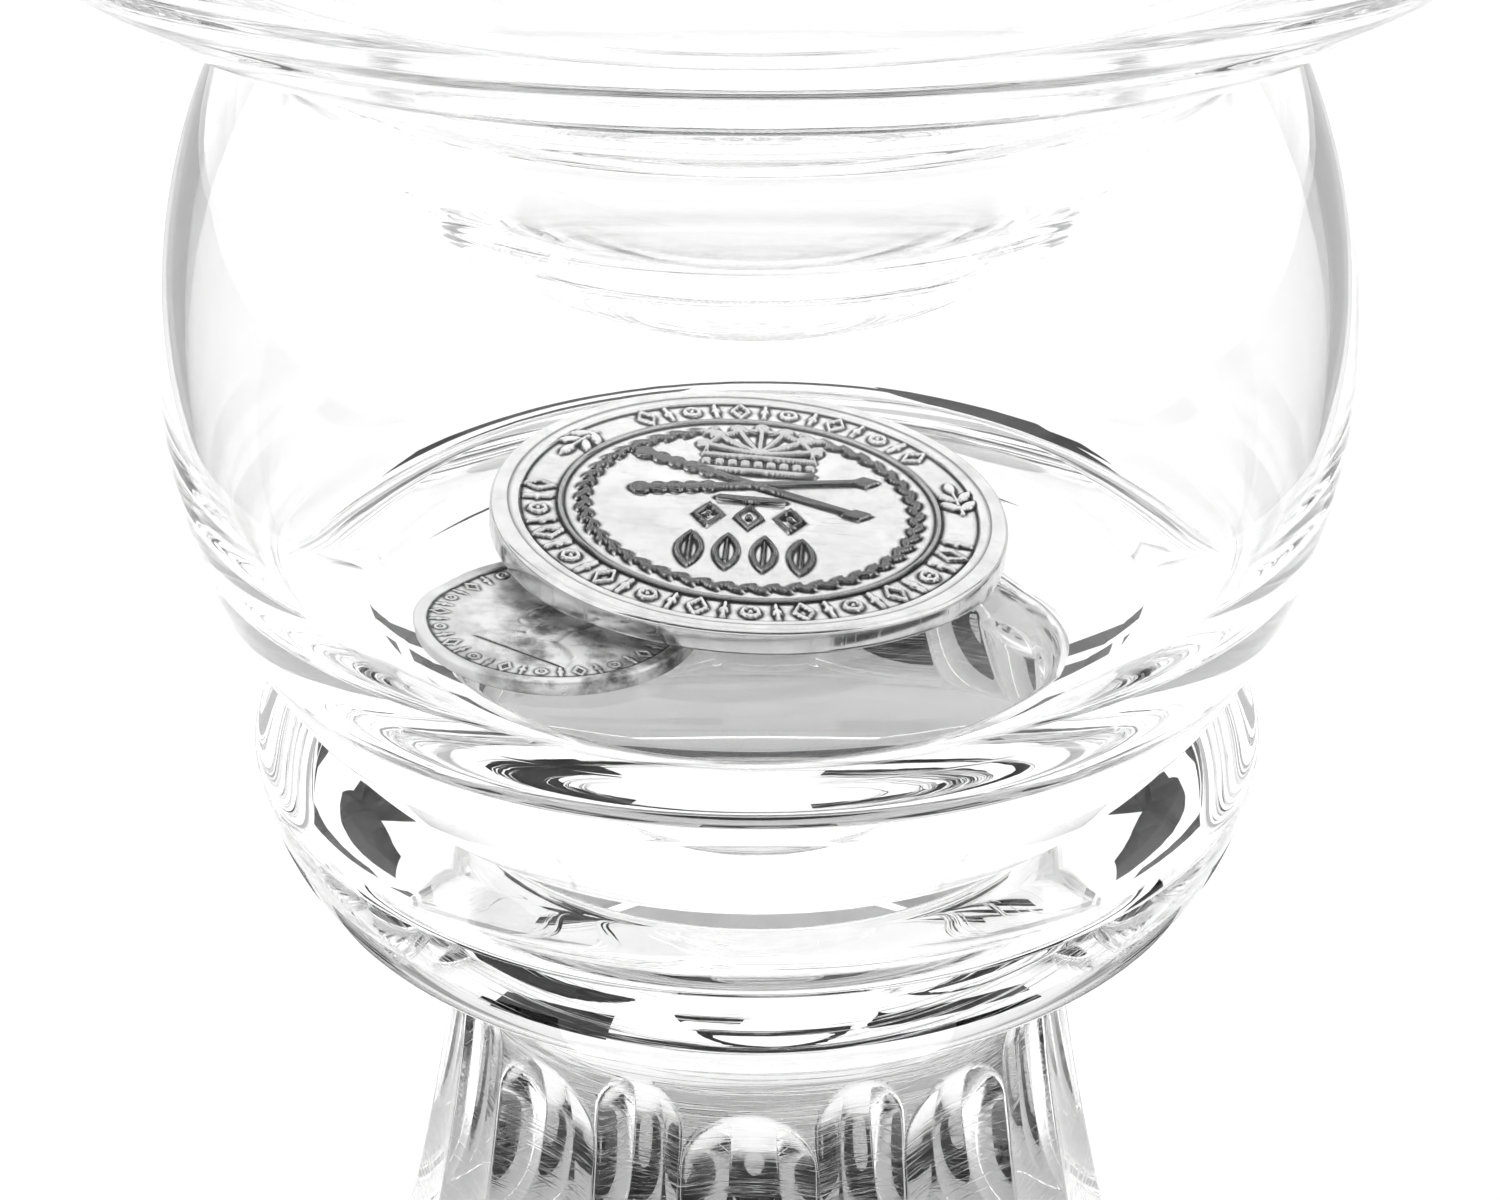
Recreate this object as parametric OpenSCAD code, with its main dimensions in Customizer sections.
// Pedestal goblet of heavy clear glass with a hollow knop. A large medal and a
// small coin lie loose inside the knop and can never come out.
// Origin: centre of the foot's underside. +Z is up the goblet's own axis.

/* [Knop] */
// Height of the knop's widest level above the table
knop_z = 104; // [100:1:112]
// Radius of the knop at its widest level
knop_r = 35; // [34:0.5:37]
// Wall of the knop at its widest level
knop_wall = 1.7; // [1.4:0.1:2]
// Depth of the flat chamber floor below the widest level
floor_drop = 15.1; // [14:0.1:16]
// Radius of the flat part of the chamber floor
floor_r = 24.2; // [23.8:0.1:25]

/* [Bowl] */
// Radius of the bowl at its lip
lip_r = 50; // [46:1:54]
// Height of the lip above the knop's widest level
lip_rise = 101; // [90:1:115]
// Thickness of the bowl at its lip
lip_wall = 2.4; // [2:0.2:3.2]
// Thickness of glass under the middle of the bowl's well
well_t = 4.2; // [3.4:0.2:5]

/* [Collar] */
// Radius of the rounded collar under the knop
collar_r = 31.35; // [30.5:0.05:32.5]

/* [Stem and foot] */
// Radius of the stem's plain waist
stem_r = 19; // [18:0.5:20]
// Radius of the foot
foot_r = 47; // [44:1:52]
// Wide flutes around the stem, with a narrow one between each two
flutes = 9; // [8:1:9]
// Depth of a wide flute
flute_depth = 1.15; // [0.9:0.05:1.3]

/* [Medal and coin] */
// Radius of the large medal
medal_r = 16; // [15.5:0.1:16.2]
// Thickness of the medal over its rim
medal_t = 2.1; // [1.8:0.1:2.3]
// Radius of the small coin
coin_r = 8.5; // [8:0.1:8.6]
// Thickness of the small coin over its rim
coin_t = 1.2; // [1.1:0.1:1.3]

/* [Hidden] */
$fn = 96;

// Knop: heights of its two lobes and how square they are
knop_up = 37.2;
knop_down = 33.4;
up_power = 2.05;
down_power = 2.1;
cavity_up = knop_up - 1.8;
floor_z = knop_z - floor_drop;
base_cut_z = knop_z - 30.6;
// Level where the shell ends against the dome, and level where the bowl springs from the knop
touch_rise = 20.8;
join_rise = 23;

// The bowl's round bottom, which is also the ceiling of the chamber
dome_r = knop_r - 5.7;
dome_rise = 31.9;
// The bowl's side leaves the join at this angle and is pulled outwards this far
flare = 34;
flare_angle = 9;
side_n = 44;
fillet_i = 2;
// The bowl's inside: from the lip to the brow, round the turn and down into the well
brow = [dome_r + 2.2, 27];
brow_pull = [60.2, 30.6];
turn_pull = [dome_r - 1.7, 26.2];
well_edge = [dome_r - 3.7, 20.4];
well_pull = [dome_r - 9.1, 6.8];

// Collar: its section is a bulge with a nearly flat top
collar_z = knop_z - 25.2;
collar_up = 1.2;
collar_down = 8.3;
collar_core_r = 27;
collar_power = 1.6;
collar_foot_z = collar_z - collar_down;

// Foot
foot_t = 7;
recess_r = 30;
recess_t = 0.8;

// Stem: its flutes are cut by the edges of two grinding wheels
stem_h = collar_foot_z - foot_t;
arch_z = collar_foot_z - 9.2;
flute_end_z = collar_foot_z - 33;
wide_cut_r = 14;
narrow_cut_r = 9;
narrow_share = 0.62;
narrow_rise = 1.5;
flute_turn = -91.4;
overcut = 0.3;

// Loose pieces: the medal leans on the coin, which lies at the edge of the floor
gap = 0.05;
coin_dir = 220;
coin_out = floor_r - coin_r - 0.16;
coin_at = coin_out * [cos(coin_dir), sin(coin_dir)];
medal_at = [-0.55, 1.4];
prop = medal_at[0] - coin_at[0] - coin_r;
lean = asin((coin_t + 2 * gap) / (medal_r + prop));
edge_cut = 0.25;

clear_glass = [0.94, 0.96, 0.97, 0.4];

// Half of a superellipse from its widest level to its pole
function lobe(r, h, p, n) =
    [for (i = [0:n]) let (s = sin(90 * i / n)) [r * pow(max(0, 1 - pow(s, p)), 1 / p), h * s]];
// Radius of a superellipse at a height
function lobe_r(r, h, p, z) = r * pow(max(0, 1 - pow(abs(z) / h, p)), 1 / p);
// Outside and inside of the knop at a height above its widest level
function knop_out(z) =
    z >= 0 ? lobe_r(knop_r, knop_up, up_power, z) : lobe_r(knop_r, knop_down, down_power, z);
function cavity_top(z) = lobe_r(knop_r - knop_wall, cavity_up, up_power, z);
function cavity_low(z) = floor_r + lobe_r(knop_r - knop_wall - floor_r, floor_drop, 2, z);
// A curve through two ends, pulled towards a middle point
function bend(a, m, b, n) =
    [for (i = [0:n]) let (t = i / n) (1 - t) * (1 - t) * a + 2 * t * (1 - t) * m + t * t * b];
function steps(a, b, n) = [for (i = [0:n]) a + (b - a) * i / n];
function up(points, z) = [for (p = points) [p[0], p[1] + z]];
function part(v, first, last) = [for (i = [first:last]) v[i]];
function reversed(v) = [for (i = [len(v) - 1:-1:0]) v[i]];
// Stem radius at a depth below the collar
function stem_out(d) =
    stem_r + 1.4 * exp(-d / 1.6) + 0.0265 * pow(d, 1.5) + (foot_r - 35) * pow(d / stem_h, 7);

// Foot: a thick disc with a rounded edge and a shallow ground recess below
module foot() {
    top_r = stem_out(stem_h);
    color(clear_glass)
    rotate_extrude()
        polygon(concat(
            [[0, recess_t], [recess_r - 1, recess_t], [recess_r, 0], [foot_r - 2.5, 0]],
            bend([foot_r - 2.5, 0], [foot_r, 0], [foot_r, 2.2], 8),
            bend([foot_r, 2.2], [foot_r, 5.6], [top_r, foot_t], 10),
            [[0, foot_t]]));
}

// The rim of a grinding wheel that cuts one flute, deepest halfway down it
module flute_cutter(edge_r, depth, top_z) {
    sink = depth + overcut;
    half = (top_z - flute_end_z) / 2;
    mid_d = collar_foot_z - (top_z - half);
    slope = atan((stem_out(mid_d + half) - stem_out(mid_d - half)) / (2 * half));
    wheel_r = half * half / (2 * sink);
    translate([stem_out(mid_d) + overcut, 0, top_z - half]) rotate([0, -slope, 0])
        translate([wheel_r - sink, 0, 0]) rotate([90, 0, 0])
            rotate_extrude() translate([wheel_r - edge_r, 0]) circle(r = edge_r);
}

// Stem: solid, spreading downwards, cut with wide and narrow round-headed flutes
module stem() {
    pitch = 360 / flutes;
    depths = concat([0, 0.8, 1.8, 3.2, 5.2], steps(8, 36, 7), steps(39, stem_h, 10));
    color(clear_glass)
    difference() {
        rotate_extrude()
            polygon(concat([[0, collar_foot_z], [0, foot_t]],
                [for (d = reversed(depths)) [stem_out(d), collar_foot_z - d]]));
        for (i = [0:flutes - 1]) {
            rotate(flute_turn + i * pitch) flute_cutter(wide_cut_r, flute_depth, arch_z);
            rotate(flute_turn + (i + 0.5) * pitch)
                flute_cutter(narrow_cut_r, flute_depth * narrow_share, arch_z + narrow_rise);
        }
    }
}

// Collar: a thick ring that cups the bottom of the knop
module collar() {
    bulge = collar_r - collar_core_r;
    top = [for (p = lobe(bulge, collar_up, collar_power, 8)) [collar_core_r + p[0], collar_z + p[1]]];
    low = [for (p = lobe(bulge, collar_down, collar_power, 16)) [collar_core_r + p[0], collar_z - p[1]]];
    seat = [for (z = steps(base_cut_z, collar_z + collar_up, 10)) [knop_out(z - knop_z), z]];
    color(clear_glass)
    rotate_extrude()
        polygon(concat([[0, collar_foot_z], [0, base_cut_z]], seat, reversed(top),
            part(low, 1, len(low) - 1)));
}

// Knop base: the solid glass under the chamber floor
module knop_base() {
    color(clear_glass)
    rotate_extrude()
        polygon(concat([[0, floor_z], [0, base_cut_z]],
            [for (z = steps(base_cut_z, floor_z, 20)) [knop_out(z - knop_z), z]]));
}

// Knop shell: the thin blown wall between the base and the bowl
module knop_shell() {
    outer = [for (z = steps(-floor_drop, touch_rise, 44)) [knop_out(z), z]];
    dome_edge = [sqrt(dome_r * dome_r - pow(dome_rise - touch_rise, 2)), touch_rise];
    inner_top = [for (z = steps(touch_rise - 0.4, 0.8, 24)) [cavity_top(z), z]];
    inner_low = [for (i = [0:18]) let (z = -floor_drop * sin(5 * i)) [cavity_low(z), z]];
    color(clear_glass)
    rotate_extrude()
        polygon(up(concat(outer, [dome_edge], inner_top, inner_low), knop_z));
}

// Bowl: a wide cup whose round bottom closes the chamber from above
module bowl() {
    join = [knop_out(join_rise), join_rise];
    lip = [lip_r, lip_rise];
    touch = [knop_out(touch_rise), touch_rise];
    dome_a = acos((dome_rise - touch_rise) / dome_r);
    bottom = [for (a = steps(0, dome_a, 28)) [dome_r * sin(a), dome_rise - dome_r * cos(a)]];
    side = bend(join, join + flare * [cos(flare_angle), sin(flare_angle)], lip, side_n);
    throat = bend(touch, join, side[fillet_i], 6);
    edge = [for (a = steps(0, 180, 8)) lip + lip_wall / 2 * [cos(a) - 1, sin(a)]];
    inside = bend([lip_r - lip_wall, lip_rise], brow_pull, brow, 34);
    turn = bend(brow, turn_pull, well_edge, 10);
    well = bend(well_edge, well_pull, [0, dome_rise - dome_r + well_t], 24);
    color(clear_glass)
    rotate_extrude()
        polygon(up(concat(bottom, throat, part(side, fillet_i + 1, side_n), part(edge, 1, 7),
            inside, part(turn, 1, 9), well), knop_z));
}

// A struck disc with a raised rim on both faces
module struck_disc(r, t, rim, field) {
    color("silver")
    rotate_extrude()
        polygon([[0, field], [r - rim, field], [r - rim * 0.8, 0], [r - edge_cut, 0], [r, edge_cut],
            [r, t - edge_cut], [r - edge_cut, t], [r - rim * 0.8, t], [r - rim, t - field],
            [0, t - field]]);
}

// Small coin: flat on the chamber floor
module coin() {
    translate([coin_at[0], coin_at[1], floor_z + gap])
        struck_disc(coin_r, coin_t, 0.9, 0.12);
}

// Medal: one edge on the floor, leaning on the small coin
module medal() {
    translate([medal_at[0], medal_at[1], floor_z + gap + medal_r * sin(lean)])
        rotate([0, lean, 0])
            struck_disc(medal_r, medal_t, 1.5, 0.25);
}

foot();
stem();
collar();
knop_base();
knop_shell();
bowl();
coin();
medal();
